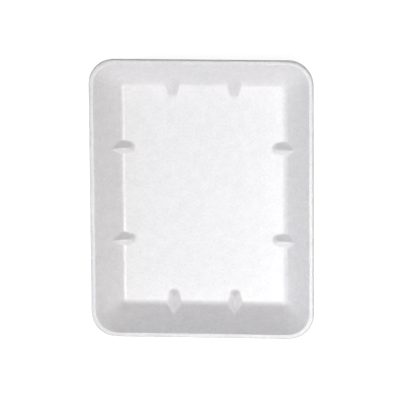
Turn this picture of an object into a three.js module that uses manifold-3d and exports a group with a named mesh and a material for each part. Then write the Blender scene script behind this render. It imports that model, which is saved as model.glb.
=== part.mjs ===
// A foam meat tray: one shell of polystyrene foam sheet, thermoformed between matched moulds.
// Lengths are millimetres. X runs across the tray, Y along it and Z up from the base.

import * as THREE from "three";
import { mergeVertices } from "three/addons/utils/BufferGeometryUtils.js";
import Module from "manifold-3d";

// Size over the rim
const WIDTH = 210; // along X
const LENGTH = 266; // along Y
const HEIGHT = 32;

// The foam, and the section of wall and rim
const FOAM = 4; // thickness of floor, walls and ribs
const WALL_RUN = 23; // how far the inside of a wall leans out between the floor and the rim
const RIM_WIDTH = 4.4; // from the top of the wall to the outer edge of the rim
const RIM_THICKNESS = 3.4; // the sheet is pressed thinner at the rim
const FLOOR_FILLET = 8; // inside radius between floor and wall
const SHOULDER_RADIUS = 1; // where the wall turns over into the rim
const RIM_EDGE_RADIUS = 1.9; // upper edge of the rim
const RIM_UNDER_RADIUS = 0.9; // lower edge of the rim
const NECK_RADIUS = 1; // underneath, between the wall and the rim

// Corners in plan
const FLOOR_CORNER = 5; // at the edge of the floor
const RIM_CORNER = 24; // at the outer edge of the rim

// Stacking ribs: a ridge with a round nose on the floor, whose crest climbs on to the wall
const RIB_FLOOR_REACH = 12; // from the foot of the wall to the tip of the nose
const RIB_RISE = 10; // height above the floor at which the crest meets the wall
const RIB_NOSE_RADIUS = 4.2; // of the round nose, on the floor
const RIB_HALF_WIDTH = 5.8; // over the foot of the wall
const CREST_SLOPE = 52; // of the flanks beside the crest, in degrees
const SKIRT_SLOPE = 40; // of the flanks at the half width
const HOLLOW_SHARE = 0.78; // width of the hollow behind a rib, as a share of the rib's
const END_RIB_SPACING = 58; // between the two ribs of an end wall
const SIDE_RIB_SPACING = 88; // between the two ribs of a side wall

// How finely curves are divided
const CORNER_STEPS = 12;
const FILLET_STEPS = 8;
const SMALL_STEPS = 4;
const FLANK_STEPS = 5;
const NOSE_STEPS = 24;

// Worked out from the above
const wallAngle = Math.atan2(HEIGHT - FOAM, WALL_RUN); // from the horizontal
const footX = WIDTH / 2 - RIM_WIDTH - WALL_RUN; // foot of the wall, inside, along X
const footY = LENGTH / 2 - RIM_WIDTH - WALL_RUN;
const rimReach = WALL_RUN + RIM_WIDTH; // from the foot of the wall to the outer edge
const degrees90 = Math.PI / 2;
const tangent = (degrees) => Math.tan(THREE.MathUtils.degToRad(degrees));

const wasm = await Module();
wasm.setup();

// A section is a list of points (out, z): out is the distance outwards from the foot of the wall.
const point = (out, z) => new THREE.Vector2(out, z);

// An arc of a section round a centre, with its angles from the horizontal.
function arc(centre, radius, from, to, steps) {
  return Array.from({ length: steps + 1 }, (_, i) => {
    const angle = from + ((to - from) * i) / steps;
    return point(centre.x + radius * Math.cos(angle), centre.y + radius * Math.sin(angle));
  });
}

// Where a rounding of this radius touches the two straight stretches that it joins.
const tangentLength = (radius, turn) => radius * Math.tan(turn / 2);

// One level of the tray in plan: a rounded rectangle, with the corners wider towards the rim.
function ring({ x: out, y: z }) {
  const radius = FLOOR_CORNER + ((RIM_CORNER - FLOOR_CORNER) * out) / rimReach;
  const points = [];
  for (let corner = 0; corner < 4; corner++) {
    const signX = corner === 0 || corner === 3 ? 1 : -1;
    const signY = corner < 2 ? 1 : -1;
    for (let i = 0; i <= CORNER_STEPS; i++) {
      const angle = degrees90 * (corner + i / CORNER_STEPS);
      points.push(
        new THREE.Vector3(
          signX * (footX + out - radius) + radius * Math.cos(angle),
          signY * (footY + out - radius) + radius * Math.sin(angle),
          z,
        ),
      );
    }
  }
  return points;
}

// A closed body stretched over a row of outlines, with a flat fan over each end.
function skin(outlines) {
  const around = outlines[0].length;
  const last = outlines.length - 1;
  const middle = (outline) =>
    outline.reduce((sum, p) => sum.add(p), new THREE.Vector3()).divideScalar(around);
  const vertices = outlines.flat();
  const lowerMiddle = vertices.push(middle(outlines[0])) - 1;
  const upperMiddle = vertices.push(middle(outlines[last])) - 1;
  const index = [];
  for (let j = 0; j < around; j++) {
    const next = (j + 1) % around;
    for (let i = 0; i < last; i++) {
      const [a, b] = [i * around + j, i * around + next];
      const [c, d] = [a + around, b + around];
      index.push(a, b, d, a, d, c);
    }
    index.push(lowerMiddle, next, j);
    index.push(upperMiddle, last * around + j, last * around + next);
  }
  return solidOf(new THREE.BufferGeometry().setFromPoints(vertices).setIndex(index));
}

// A geometry as a solid that can be joined and cut, without the triangles that shrink to a line.
function solidOf(geometry) {
  const bare = new THREE.BufferGeometry();
  bare.setAttribute("position", geometry.getAttribute("position"));
  bare.setIndex(geometry.getIndex());
  const merged = mergeVertices(bare, 1e-4);
  const corners = Array.from(merged.getIndex().array);
  const triangles = [];
  for (let i = 0; i < corners.length; i += 3) {
    const triangle = corners.slice(i, i + 3);
    if (new Set(triangle).size === 3) triangles.push(...triangle);
  }
  return new wasm.Manifold(
    new wasm.Mesh({
      numProp: 3,
      vertProperties: merged.getAttribute("position").array,
      triVerts: new Uint32Array(triangles),
    }),
  );
}

// The two roundings at the foot of the wall share this centre, so the foam keeps its thickness.
const filletCentre = point(-tangentLength(FLOOR_FILLET, wallAngle), FOAM + FLOOR_FILLET);
const footArc = (radius) => arc(filletCentre, radius, -degrees90, wallAngle - degrees90, FILLET_STEPS);

// The hollow that the meat lies in: floor, fillet, wall and shoulder, up to the level of the rim.
function cavitySection() {
  const shoulderStart = WALL_RUN + tangentLength(SHOULDER_RADIUS, wallAngle);
  const centre = point(shoulderStart, HEIGHT - SHOULDER_RADIUS);
  const shoulder = arc(centre, SHOULDER_RADIUS, degrees90 + wallAngle, degrees90, SMALL_STEPS);
  return [...footArc(FLOOR_FILLET), ...shoulder, point(shoulderStart, HEIGHT + FOAM)];
}

// The outside: base, rounded lower edge, wall, neck and the rounded edge of the rim.
function outerSection() {
  const rimUnderside = HEIGHT - RIM_THICKNESS;
  const wallAtRim = (rimUnderside - FOAM) / Math.tan(wallAngle) + FOAM / Math.sin(wallAngle);
  const neckCentre = point(
    wallAtRim + tangentLength(NECK_RADIUS, wallAngle),
    rimUnderside - NECK_RADIUS,
  );
  const underCentre = point(rimReach - RIM_UNDER_RADIUS, rimUnderside + RIM_UNDER_RADIUS);
  const edgeCentre = point(rimReach - RIM_EDGE_RADIUS, HEIGHT - RIM_EDGE_RADIUS);
  return [
    ...footArc(FLOOR_FILLET + FOAM),
    ...arc(neckCentre, NECK_RADIUS, degrees90 + wallAngle, degrees90, SMALL_STEPS),
    ...arc(underCentre, RIM_UNDER_RADIUS, -degrees90, 0, SMALL_STEPS),
    ...arc(edgeCentre, RIM_EDGE_RADIUS, 0, degrees90, SMALL_STEPS),
  ];
}

// How far a flank falls, at its half width and at the radius of the nose: slopes change evenly.
const skirtFall = (RIB_HALF_WIDTH / 2) * (tangent(CREST_SLOPE) + tangent(SKIRT_SLOPE));
const noseShare = RIB_NOSE_RADIUS / RIB_HALF_WIDTH;
const slopeAtNose = THREE.MathUtils.lerp(tangent(CREST_SLOPE), tangent(SKIRT_SLOPE), noseShare);
const noseHeight = (RIB_NOSE_RADIUS / 2) * (tangent(CREST_SLOPE) + slopeAtNose);

// The crest of a rib: a straight line from the middle of its nose to where it meets the wall.
const crestStart = point(RIB_NOSE_RADIUS - RIB_FLOOR_REACH, FOAM + noseHeight);
const crestEnd = point(RIB_RISE / Math.tan(wallAngle), FOAM + RIB_RISE);
const insideWall = crestEnd.clone().add(crestEnd.clone().sub(crestStart).setLength(FOAM));

// Half of a rib's section: a flank that is steepest at the crest, on an upright cheek.
function halfSection(widthShare) {
  const halfWidth = RIB_HALF_WIDTH * widthShare;
  const bend = point(halfWidth / 2, -(RIB_HALF_WIDTH / 2) * tangent(CREST_SLOPE));
  const flank = new THREE.QuadraticBezierCurve(point(0, 0), bend, point(halfWidth, -skirtFall));
  return [...flank.getPoints(FLANK_STEPS), point(halfWidth, -skirtFall - 2 * FOAM)];
}

// A rib on the wall that faces outwards, at a distance along it: a ridge with a turned nose.
function rib(widthShare, lowering, outwards, along) {
  const half = halfSection(widthShare);
  const section = [...half.map(({ x, y }) => point(-x, y)), ...half.slice(1).reverse()];
  const up = new THREE.Vector3(0, 0, 1);
  const across = up.clone().cross(outwards);
  const foot = outwards.x ? footX : footY;
  const place = ({ x: out, y: z }, { x: sideways, y: rise }) =>
    new THREE.Vector3()
      .addScaledVector(outwards, foot + out)
      .addScaledVector(up, z - lowering + rise)
      .addScaledVector(across, along + sideways);
  const ridge = skin([crestStart, insideWall].map((end) => section.map((p) => place(end, p))));
  const axis = [point(0, half.at(-1).y), ...half.slice().reverse()];
  const nose = new THREE.LatheGeometry(axis, NOSE_STEPS).rotateX(degrees90);
  const middle = place(crestStart, point(0, 0));
  return ridge.add(solidOf(nose.translate(middle.x, middle.y, middle.z)));
}

// The ribs stand in the cavity, and the hollows behind them are open to the underside.
const walls = [
  [new THREE.Vector3(1, 0, 0), SIDE_RIB_SPACING],
  [new THREE.Vector3(-1, 0, 0), SIDE_RIB_SPACING],
  [new THREE.Vector3(0, 1, 0), END_RIB_SPACING],
  [new THREE.Vector3(0, -1, 0), END_RIB_SPACING],
];
let cavity = skin(cavitySection().map(ring));
let body = skin(outerSection().map(ring));
for (const [outwards, spacing] of walls) {
  for (const along of [-spacing / 2, spacing / 2]) {
    cavity = cavity.subtract(rib(1, 0, outwards, along));
    body = body.subtract(rib(HOLLOW_SHARE, FOAM, outwards, along));
  }
}
const shell = body.subtract(cavity).getMesh();

const geometry = new THREE.BufferGeometry();
geometry.setAttribute("position", new THREE.BufferAttribute(shell.vertProperties, 3));
geometry.setIndex(new THREE.BufferAttribute(shell.triVerts, 1));
geometry.computeVertexNormals();

const foam = new THREE.MeshStandardMaterial({ color: 0xf3f3f2, roughness: 0.55, metalness: 0 });
const tray = new THREE.Mesh(geometry, foam);
tray.name = "tray";

const group = new THREE.Group();
group.add(tray);

export default group;
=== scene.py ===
# %% [markdown]
# # A foam meat tray
#
# The real thing is one sheet of white polystyrene foam, pressed between two warm moulds.
# Everything that can be seen is that one sheet: floor, leaning walls, rim and eight small ribs.
# So the scene needs one surface with a true section, one foam material and a very soft light.
# The solid model is loaded first, and it fixes the size and the place of everything.

# %% Load the solid model
import math

import bpy
import numpy as np
from mathutils import Matrix, Vector


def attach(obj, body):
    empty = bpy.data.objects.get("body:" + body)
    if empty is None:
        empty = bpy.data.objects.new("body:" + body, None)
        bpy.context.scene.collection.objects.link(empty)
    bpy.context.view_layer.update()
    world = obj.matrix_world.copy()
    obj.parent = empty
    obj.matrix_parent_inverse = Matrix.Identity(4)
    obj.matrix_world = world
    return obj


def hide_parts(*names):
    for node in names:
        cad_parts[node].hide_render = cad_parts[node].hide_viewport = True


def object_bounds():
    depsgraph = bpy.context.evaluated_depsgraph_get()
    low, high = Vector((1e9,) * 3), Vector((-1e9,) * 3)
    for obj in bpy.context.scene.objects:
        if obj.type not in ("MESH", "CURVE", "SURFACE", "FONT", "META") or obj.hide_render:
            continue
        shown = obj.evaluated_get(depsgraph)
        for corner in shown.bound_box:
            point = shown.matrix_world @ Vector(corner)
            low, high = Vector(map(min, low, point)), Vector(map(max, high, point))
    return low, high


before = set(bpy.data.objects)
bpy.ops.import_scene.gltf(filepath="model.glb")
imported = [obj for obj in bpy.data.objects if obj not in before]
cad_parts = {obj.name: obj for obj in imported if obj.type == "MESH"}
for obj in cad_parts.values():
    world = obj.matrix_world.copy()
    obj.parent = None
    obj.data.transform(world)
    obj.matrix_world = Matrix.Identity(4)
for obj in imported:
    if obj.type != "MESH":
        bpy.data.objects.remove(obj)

cad_low, cad_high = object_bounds()
print("solid model in mm:", [round(1000 * v, 2) for v in cad_high - cad_low])

# %% [markdown]
# ## The section of the foam
#
# A thermoformed tray is best described by its section: what a saw cut across a wall would show.
# A box could also be bevelled and given a Solidify modifier, but a written section keeps the
# thickness, the roundings and the rim at their true sizes.
# We write it as points (out, height), where out is measured from the foot of the wall.
# Straight stretches and arcs follow each other, once along the inside and back along the outside.
# The overall size comes from the solid model, and the few values below describe the section.

# %% Sizes of the tray, in metres
MM = 0.001
WIDTH, LENGTH, HEIGHT = cad_high - cad_low

FOAM = 4 * MM  # thickness of floor, walls and ribs
WALL_RUN = 23 * MM  # how far the inside of a wall leans out between floor and rim
RIM_WIDTH = 4.4 * MM
RIM_THICKNESS = 3.4 * MM  # the sheet is pressed thinner at the rim
FLOOR_FILLET = 8 * MM  # inside radius between floor and wall
SHOULDER_RADIUS = 1 * MM  # where the wall turns over into the rim
RIM_EDGE_RADIUS = 1.9 * MM
RIM_UNDER_RADIUS = 0.9 * MM
NECK_RADIUS = 1 * MM  # underneath, between the wall and the rim
FLOOR_CORNER = 5 * MM  # radius in plan at the edge of the floor
RIM_CORNER = 24 * MM  # radius in plan at the outer edge of the rim

WALL_ANGLE = math.atan2(HEIGHT - FOAM, WALL_RUN)
FOOT = np.array([WIDTH, LENGTH]) / 2 - RIM_WIDTH - WALL_RUN
RIM_REACH = WALL_RUN + RIM_WIDTH
print("walls lean out at", round(math.degrees(WALL_ANGLE), 1), "degrees from the floor")

# %% Helpers for a section
RIGHT_ANGLE = math.pi / 2


def arc(centre, radius, start, end, steps):
    """Points at the centre plus the radius times (cosine, sine) of evenly spread angles."""
    angle = np.linspace(start, end, steps + 1)
    return np.stack([centre[0] + radius * np.cos(angle), centre[1] + radius * np.sin(angle)], 1)


def line(start, end, step):
    """Points spread evenly between two ends, about a step apart, without the ends themselves."""
    count = max(2, round(math.dist(start, end) / step))
    share = np.linspace(0, 1, count + 1)[1:-1, None]
    return (1 - share) * np.array(start) + share * np.array(end)


def tangent_length(radius, turn):
    """Radius times the tangent of half the turn: where a rounding touches its straight neighbours."""
    return radius * math.tan(turn / 2)


# %% The inside and the outside of the section
RIB_FLOOR_REACH = 12 * MM  # from the foot of the wall to the tip of a rib
PANEL_EDGE = RIB_FLOOR_REACH + 3 * MM  # the floor is a plain panel further in than this
FINE_STEP = 0.8 * MM
FILLET_STEPS = 14
ROUNDING_STEPS = 8

fillet_centre = (-tangent_length(FLOOR_FILLET, WALL_ANGLE), FOAM + FLOOR_FILLET)
shoulder_start = WALL_RUN + tangent_length(SHOULDER_RADIUS, WALL_ANGLE)
rim_under = HEIGHT - RIM_THICKNESS
wall_at_rim = (rim_under - FOAM) / math.tan(WALL_ANGLE) + FOAM / math.sin(WALL_ANGLE)


def foot_arc(radius):
    """The rounding at the foot of the wall.

    Inside and outside are arcs round one centre, so the foam keeps its thickness.
    """
    return arc(fillet_centre, radius, -RIGHT_ANGLE, WALL_ANGLE - RIGHT_ANGLE, FILLET_STEPS)


def inside_section():
    """Floor, fillet, wall, shoulder and the flat top of the rim, going outwards."""
    fillet = foot_arc(FLOOR_FILLET)
    shoulder = arc((shoulder_start, HEIGHT - SHOULDER_RADIUS), SHOULDER_RADIUS,
                   RIGHT_ANGLE + WALL_ANGLE, RIGHT_ANGLE, ROUNDING_STEPS)
    floor = line((-PANEL_EDGE - FINE_STEP, FOAM), fillet[0], FINE_STEP)
    return np.concatenate([floor, fillet, line(fillet[-1], shoulder[0], FINE_STEP), shoulder])


def outside_section():
    """The rounded edge of the rim, its underside, the wall and the base, going inwards."""
    edge = arc((RIM_REACH - RIM_EDGE_RADIUS, HEIGHT - RIM_EDGE_RADIUS), RIM_EDGE_RADIUS,
               RIGHT_ANGLE, 0, ROUNDING_STEPS)
    under = arc((RIM_REACH - RIM_UNDER_RADIUS, rim_under + RIM_UNDER_RADIUS), RIM_UNDER_RADIUS,
                0, -RIGHT_ANGLE, ROUNDING_STEPS)
    neck = arc((wall_at_rim + tangent_length(NECK_RADIUS, WALL_ANGLE), rim_under - NECK_RADIUS),
               NECK_RADIUS, RIGHT_ANGLE, RIGHT_ANGLE + WALL_ANGLE, ROUNDING_STEPS)
    foot = foot_arc(FLOOR_FILLET + FOAM)[::-1]
    base = line(foot[-1], (-PANEL_EDGE - FINE_STEP, 0), FINE_STEP)
    return np.concatenate([edge, under, neck, line(neck[-1], foot[0], FINE_STEP), foot, base])


inside, outside = inside_section(), outside_section()
section = np.concatenate([inside, outside])
print("section:", len(inside), "points inside and", len(outside), "outside")

# %% [markdown]
# ## From section to tray
#
# Each point of the section is carried once round the tray, on a rounded rectangle.
# The corners are tight at the floor and wide at the rim, so the radius grows with the distance out.
# Points on the straight sides stay at fixed places along the wall, close together at the ribs,
# so that the ribs come out crisp while the rest of the surface stays light.

# %% Where the points stand along a side
END_RIB_SPACING = 58 * MM  # between the two ribs of an end wall
SIDE_RIB_SPACING = 88 * MM  # between the two ribs of a side wall
CORNER_STEPS = 24
RIB_ZONE = 9 * MM
RIB_STEP = 0.45 * MM
PLAIN_STEP = 6 * MM
LEAST_RADIUS = 1.5 * MM  # of the corners of the innermost rings


def side_stations(rib, end):
    """Places along a side: RIB_STEP apart within RIB_ZONE of a rib, else about PLAIN_STEP."""
    zone = np.arange(-RIB_ZONE, RIB_ZONE + RIB_STEP / 2, RIB_STEP)
    inner = rib - RIB_ZONE
    middle = np.linspace(-inner, inner, round(2 * inner / PLAIN_STEP) + 1)[1:-1]
    outer = np.linspace(rib + zone[-1], end, round((end - rib) / PLAIN_STEP) + 1)[1:]
    return np.concatenate([-outer[::-1], zone - rib, middle, zone + rib, outer])


def ring_plan(out):
    """Plan positions, rings by points by two: four straight sides joined by quarter circles.

    A side lies at the foot of the wall plus out. The radius is FLOOR_CORNER at the foot and
    grows in proportion to out, up to RIM_CORNER at the rim.
    """
    radius = np.maximum(FLOOR_CORNER + (RIM_CORNER - FLOOR_CORNER) * out / RIM_REACH, LEAST_RADIUS)
    half = FOOT + out[:, None]
    start = half - radius[:, None]
    angle = np.linspace(0, RIGHT_ANGLE, CORNER_STEPS + 1)
    parts = []
    for quarter in range(4):
        turn = np.array([math.cos(quarter * RIGHT_ANGLE), math.sin(quarter * RIGHT_ANGLE)]).round()
        left = np.array([-turn[1], turn[0]])
        along = 1 if quarter % 2 == 0 else 0
        rib = (SIDE_RIB_SPACING if along else END_RIB_SPACING) / 2
        fixed = side_stations(rib, FOOT[along] - PANEL_EDGE - 2 * LEAST_RADIUS)
        side = np.broadcast_to(fixed, (len(out), len(fixed)))
        parts.append(half[:, 1 - along, None, None] * turn + side[:, :, None] * left)
        across = start[:, 1 - along, None, None] * turn + start[:, along, None, None] * left
        bend = np.cos(angle)[:, None] * turn + np.sin(angle)[:, None] * left
        parts.append(across + radius[:, None, None] * bend)
    return np.concatenate(parts, 1)


plan = ring_plan(section[:, 0])
height = np.repeat(section[:, 1:], plan.shape[1], axis=1)
print("surface grid:", plan.shape[0], "rings of", plan.shape[1], "points")

# %% [markdown]
# ## The ribs
#
# Eight ribs keep stacked trays from jamming together. Each one is a ridge with a round nose on the
# floor, and its straight crest climbs on to the wall. Underneath, the same ridge is a hollow.
# Both sides of the sheet can be written as heights over the plan, so a rib is a second height,
# and the surface takes the higher of the two, with the crease between them softened a little.
# The photograph's ribs are a little slimmer than the solid model's, and a softened crease makes a
# rib look wider still, so the half width here is 0.6 mm less and the flanks are a touch steeper.

# %% Rib heights
RIB_RISE = 10 * MM  # height above the floor at which the crest meets the wall
RIB_NOSE_RADIUS = 4.2 * MM
RIB_HALF_WIDTH = 5.2 * MM
CREST_SLOPE = math.tan(math.radians(53))  # of the flanks beside the crest
SKIRT_SLOPE = math.tan(math.radians(43))  # of the flanks at the half width
CHEEK_SLOPE = 4  # below the flanks
HOLLOW_SHARE = 0.78  # width of the hollow behind a rib, as a share of the rib's
CREST_ROUNDING = 0.7 * MM
CREASE_ROUNDING = 1.6 * MM


def flank_drop(reach):
    """How far a flank falls below the crest at a distance from it, before the half width is scaled.

    The slope goes evenly from CREST_SLOPE to SKIRT_SLOPE at the half width, so the fall is
    crest slope times reach, minus the change of slope times reach^2 / (2 half width).
    Past the half width an almost upright cheek goes on down.
    """
    near = np.minimum(reach, RIB_HALF_WIDTH)
    fall = CREST_SLOPE * near - (CREST_SLOPE - SKIRT_SLOPE) * near**2 / (2 * RIB_HALF_WIDTH)
    return fall + CHEEK_SLOPE * (reach - near)


nose_height = flank_drop(RIB_NOSE_RADIUS)
crest_start = RIB_NOSE_RADIUS - RIB_FLOOR_REACH
crest_climb = (RIB_RISE - nose_height) / (RIB_RISE / math.tan(WALL_ANGLE) - crest_start)


def soft_max(a, b, width):
    """The larger of a and b, plus width / 4 times (1 - |a - b| / width)^2 where they are close."""
    near = np.maximum(1 - np.abs(a - b) / width, 0)
    return np.maximum(a, b) + near**2 * width / 4


def with_ribs(plan, height, width_share, lowering):
    """The given heights with eight ribs, made narrower by width_share and lowered.

    The crest rises in proportion to the distance out from crest_start. The reach is the distance
    in plan from the crest: straight across it, or round its lower end, where the nose is.
    """
    for axis, spacing in ((0, SIDE_RIB_SPACING), (1, END_RIB_SPACING)):
        out = np.abs(plan[..., axis]) - FOOT[axis] - crest_start
        across = np.abs(plan[..., 1 - axis]) - spacing / 2
        crest = FOAM - lowering + nose_height + crest_climb * np.maximum(out, 0)
        reach = np.sqrt(across**2 + np.minimum(out, 0)**2 + CREST_ROUNDING**2) - CREST_ROUNDING
        height = soft_max(height, crest - flank_drop(reach / width_share), CREASE_ROUNDING)
    return height


top = len(inside)
height[:top] = with_ribs(plan[:top], height[:top], 1, 0)
height[top:] = with_ribs(plan[top:], height[top:], HOLLOW_SHARE, FOAM)
print("rib crests climb from", round(1000 * nose_height, 1), "to", round(1000 * RIB_RISE, 1), "mm")

# %% [markdown]
# ## One closed mesh
#
# Rings and points already form a grid, so neighbours in the grid simply become faces. The flat
# floor and base need little: two more rings each, and a fan of triangles that closes the middle.
# Inside and outside are one skin, as on the real sheet, so no modifier is needed for the thickness.
# The mesh replaces the solid model's tray and rides on the same body.

# %% Make the mesh
PANEL_SHARES = (0.25, 0.6)


def closed_rings(grid):
    """The grid with more rings in the floor and the base: its end rings, shrunk in plan by shares."""
    shrunk = [[share, share, 1] for share in PANEL_SHARES]
    floor_rings = [grid[:1] * share for share in shrunk]
    base_rings = [grid[-1:] * share for share in shrunk[::-1]]
    return np.concatenate([*floor_rings, grid, *base_rings])


def grid_mesh(name, points, low_pole, high_pole):
    """A closed mesh of rings by points, with each end closed by a fan to a pole, faces outwards."""
    rings, around = points.shape[:2]
    index = np.arange(rings * around).reshape(rings, around)
    ahead = np.roll(index, -1, axis=1)
    quads = np.stack([index[:-1], index[1:], ahead[1:], ahead[:-1]], -1).reshape(-1, 4)
    first, last = rings * around, rings * around + 1
    start_fan = np.stack([np.full(around, first), index[0], ahead[0]], -1)
    end_fan = np.stack([np.full(around, last), ahead[-1], index[-1]], -1)
    vertices = np.concatenate([points.reshape(-1, 3), [low_pole, high_pole]])
    mesh = bpy.data.meshes.new(name)
    mesh.from_pydata(vertices.tolist(), [], quads.tolist() + start_fan.tolist() + end_fan.tolist())
    mesh.polygons.foreach_set("use_smooth", np.ones(len(mesh.polygons), bool))
    mesh.update()
    return mesh


surface = closed_rings(np.concatenate([plan, height[..., None]], -1))
tray = bpy.data.objects.new("foam_tray", grid_mesh("foam_tray", surface, (0, 0, FOAM), (0, 0, 0)))
bpy.context.scene.collection.objects.link(tray)
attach(tray, "root")
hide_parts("tray")
print("tray mesh:", len(tray.data.polygons), "faces")

# %% [markdown]
# ## The foam
#
# Extruded polystyrene is a clear plastic blown full of fine closed cells, which scatter the light
# until it looks white. The mould leaves a thin smooth skin, so there is a faint broad sheen, and
# the cells show through it as a mottling about two millimetres across, with wider, fainter clouds.
# We draw that as two soft noises on Object coordinates. Together they shift the white by a few
# percent and raise a very low bump, so the pattern belongs to the surface at any viewing angle.


# %% Helpers for materials
def linear(hex_colour):
    """An sRGB hex colour as linear values: v / 12.92 up to 0.04045, else ((v + 0.055) / 1.055)^2.4."""
    values = [int(hex_colour[i:i + 2], 16) / 255 for i in (1, 3, 5)]
    return [v / 12.92 if v <= 0.04045 else ((v + 0.055) / 1.055) ** 2.4 for v in values] + [1]


def add_node(tree, kind, settings=None, **links):
    """Adds a node, sets its properties, and fills its inputs with values or other nodes' outputs."""
    node = tree.nodes.new(kind)
    for name, value in (settings or {}).items():
        setattr(node, name, value)
    for name, value in links.items():
        key = int(name[1:]) if name[0] == "_" else name.replace("_", " ")
        if isinstance(value, bpy.types.NodeSocket):
            tree.links.new(value, node.inputs[key])
        else:
            node.inputs[key].default_value = value
    return node


# %% Thermoformed polystyrene foam
# Real cells are a few tenths of a millimetre across. A pixel of the picture is almost one
# millimetre, so they are drawn coarser, at the size of the grain that shows in it.
CELL_MM = 2.0
CLOUD_MM = 7
CLOUD_SHARE = 0.5  # strength of the clouds beside the cells
NOISE_DETAIL = 2.0
NOISE_RANGE = (0.45, 1.05)  # of cells and clouds together
DARKER_WHITE, LIGHTER_WHITE = "#eceaea", "#fcfafa"
BUMP_HEIGHT = 0.1 * MM
BUMP_STRENGTH = 0.4
SKIN_ROUGHNESS = 0.35  # the pressed skin has a faint broad sheen
POLYSTYRENE_IOR = 1.59


def polystyrene_foam():
    """White foam with a pressed skin: cells and faint clouds in the white, low bump, broad sheen."""
    material = bpy.data.materials.new("polystyrene_foam")
    material.use_nodes = True
    tree = material.node_tree
    shader = tree.nodes["Principled BSDF"]
    place = tree.nodes.new("ShaderNodeTexCoord").outputs["Object"]
    cells, clouds = [add_node(tree, "ShaderNodeTexNoise", Vector=place, Scale=1 / (size * MM),
                              Detail=NOISE_DETAIL) for size in (CELL_MM, CLOUD_MM)]
    both = add_node(tree, "ShaderNodeMath", {"operation": "MULTIPLY_ADD"},
                    _0=clouds.outputs["Fac"], _1=CLOUD_SHARE, _2=cells.outputs["Fac"])
    white = add_node(tree, "ShaderNodeMapRange", Value=both.outputs[0],
                     From_Min=NOISE_RANGE[0], From_Max=NOISE_RANGE[1])
    colour = add_node(tree, "ShaderNodeMix", {"data_type": "RGBA"}, Factor=white.outputs[0])
    colour.inputs["A"].default_value = linear(DARKER_WHITE)
    colour.inputs["B"].default_value = linear(LIGHTER_WHITE)
    tree.links.new(colour.outputs["Result"], shader.inputs["Base Color"])
    bump = add_node(tree, "ShaderNodeBump", Height=both.outputs[0],
                    Strength=BUMP_STRENGTH, Distance=BUMP_HEIGHT)
    tree.links.new(bump.outputs[0], shader.inputs["Normal"])
    shader.inputs["Roughness"].default_value = SKIN_ROUGHNESS
    shader.inputs["IOR"].default_value = POLYSTYRENE_IOR
    return material


tray.data.materials.append(polystyrene_foam())
print("foam cells of", CELL_MM, "mm under clouds of", CLOUD_MM, "mm")

# %% [markdown]
# ## The floor
#
# The photograph is a catalogue picture on plain white, so the tray stands on a wide white card.
# More light would clip the pale foam long before the card looked white. So the card glows a little
# instead, but only for rays from the camera and from reflections, and its shadow stays soft.

# %% White floor
FLOOR_SIZE = 6.0
FLOOR_GLOW = 0.85
CARD_WHITE = "#e6e6e6"


def white_floor():
    """A diffuse white that looks brighter to the camera and to reflections than to the tray."""
    material = bpy.data.materials.new("white_card")
    material.use_nodes = True
    tree = material.node_tree
    shader = tree.nodes["Principled BSDF"]
    shader.inputs["Base Color"].default_value = linear(CARD_WHITE)
    shader.inputs["Roughness"].default_value = 1.0
    shader.inputs["Specular IOR Level"].default_value = 0.0
    path = tree.nodes.new("ShaderNodeLightPath").outputs
    seen = add_node(tree, "ShaderNodeMath", {"operation": "MAXIMUM"},
                    _0=path["Is Camera Ray"], _1=path["Is Glossy Ray"])
    seen = add_node(tree, "ShaderNodeMath", {"operation": "MAXIMUM"},
                    _0=seen.outputs[0], _1=path["Is Transmission Ray"])
    glow = add_node(tree, "ShaderNodeMath", {"operation": "MULTIPLY"},
                    _0=seen.outputs[0], _1=FLOOR_GLOW)
    shader.inputs["Emission Color"].default_value = (1, 1, 1, 1)
    tree.links.new(glow.outputs[0], shader.inputs["Emission Strength"])
    return material


bpy.ops.mesh.primitive_plane_add(size=FLOOR_SIZE)
card = bpy.context.object
card.name = "card_floor"
card.data.materials.append(white_floor())
print("white card:", FLOOR_SIZE, "m wide")

# %% [markdown]
# ## The light
#
# White foam shows its form by soft changes of grey alone, so the balance of the lamps matters more
# than anything else. The light comes from large soft lamps: one overhead, a key towards the near
# end of the tray, and a slightly cool fill on the left. That is why the far wall is the brightest,
# the near wall the darkest and the right wall a little bluer than the rest.
# A small near lamp adds the faint sheen that makes the floor brighter towards the lower right.

# %% Lamps
LAMP_DISTANCE = 2.2
LAMP_SIZE = 1.1
SHEEN_DISTANCE = 0.7
SHEEN_SIZE = 0.3
COOL_WHITE = "#edf1ff"


def tilted(tilt):
    """The direction (tangent of one angle, tangent of the other, 1): it leans towards +X and +Y."""
    return Vector([math.tan(math.radians(angle)) for angle in tilt] + [1]).normalized()


def soft_lamp(name, power, tilt, distance=LAMP_DISTANCE, size=LAMP_SIZE):
    """A square lamp in a tilted direction from the tray, which faces it."""
    lean = tilted(tilt)
    lamp = bpy.data.lights.new(name, "AREA")
    lamp.size, lamp.energy = size, power
    holder = bpy.data.objects.new(name, lamp)
    holder.location = lean * distance
    holder.rotation_euler = lean.to_track_quat("Z", "Y").to_euler()
    bpy.context.scene.collection.objects.link(holder)
    return holder


soft_lamp("overhead_box", 5.0, (0, 0))
soft_lamp("key_box", 19.0, (15, -20))
side_lamp = soft_lamp("side_box", 10.4, (-50, -10))
side_lamp.data.color = linear(COOL_WHITE)[:3]
soft_lamp("sheen_box", 1.25, (4, -12), SHEEN_DISTANCE, SHEEN_SIZE)
print("lamps:", [lamp.name for lamp in bpy.data.lights])

# %% World and view
WORLD_STRENGTH = 0.03

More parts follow.
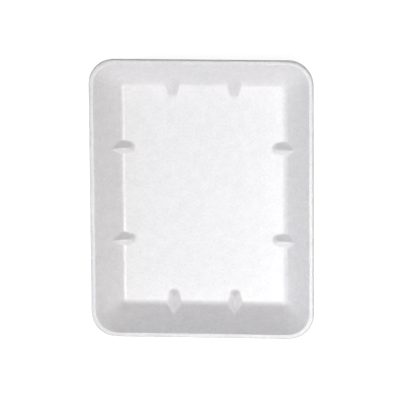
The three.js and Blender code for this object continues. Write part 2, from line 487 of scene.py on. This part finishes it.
world = bpy.data.worlds.new("studio")
world.use_nodes = True
world.node_tree.nodes["Background"].inputs["Color"].default_value = (1, 1, 1, 1)
world.node_tree.nodes["Background"].inputs["Strength"].default_value = WORLD_STRENGTH
bpy.context.scene.world = world
bpy.context.scene.view_settings.view_transform = "Standard"
print("world strength:", WORLD_STRENGTH)

# %% [markdown]
# ## The camera
#
# The far end of the tray looks almost as wide as the near end, so the picture was taken from far
# away: a long lens at four metres. It leans about twelve degrees from straight down, which shows in
# the walls: one of each pair looks narrower. The angles, the scale and the place of the rim's
# centre were measured on the photograph's outline.

# %% Camera
CAMERA_DISTANCE = 4.0
CAMERA_TILT = (5.22, 12.4)  # degrees towards +X and +Y
CAMERA_ROLL = 0.42  # degrees
PIXELS = 400
PIXELS_PER_METRE = 1071.5  # at the height of the rim
RIM_CENTRE_PIXEL = (201.48, 200.18)
SENSOR = 36.0


def photo_camera():
    """A long lens that leans from the vertical by CAMERA_TILT, with +Y up in the picture.

    The rim's centre is put at RIM_CENTRE_PIXEL: the camera is moved sideways by the pixels between
    that point and the picture's centre, divided by PIXELS_PER_METRE.
    """
    back = tilted(CAMERA_TILT)
    up = (Vector((0, 1, 0)) - back.y * back).normalized()
    up.rotate(Matrix.Rotation(math.radians(-CAMERA_ROLL), 3, back))
    right = up.cross(back)
    lens = bpy.data.cameras.new("photo_camera")
    lens.sensor_width = SENSOR
    lens.lens = SENSOR * CAMERA_DISTANCE * PIXELS_PER_METRE / PIXELS
    lens.clip_end = 3 * CAMERA_DISTANCE
    holder = bpy.data.objects.new("photo_camera", lens)
    aim = Vector((0, 0, HEIGHT))
    aim -= right * (RIM_CENTRE_PIXEL[0] - PIXELS / 2) / PIXELS_PER_METRE
    aim += up * (RIM_CENTRE_PIXEL[1] - PIXELS / 2) / PIXELS_PER_METRE
    place = Matrix((right, up, back)).transposed().to_4x4()
    place.translation = aim + back * CAMERA_DISTANCE
    holder.matrix_world = place
    bpy.context.scene.collection.objects.link(holder)
    return holder


bpy.context.scene.camera = photo_camera()
print("lens of", round(bpy.context.scene.camera.data.lens), "mm at", CAMERA_DISTANCE, "m")
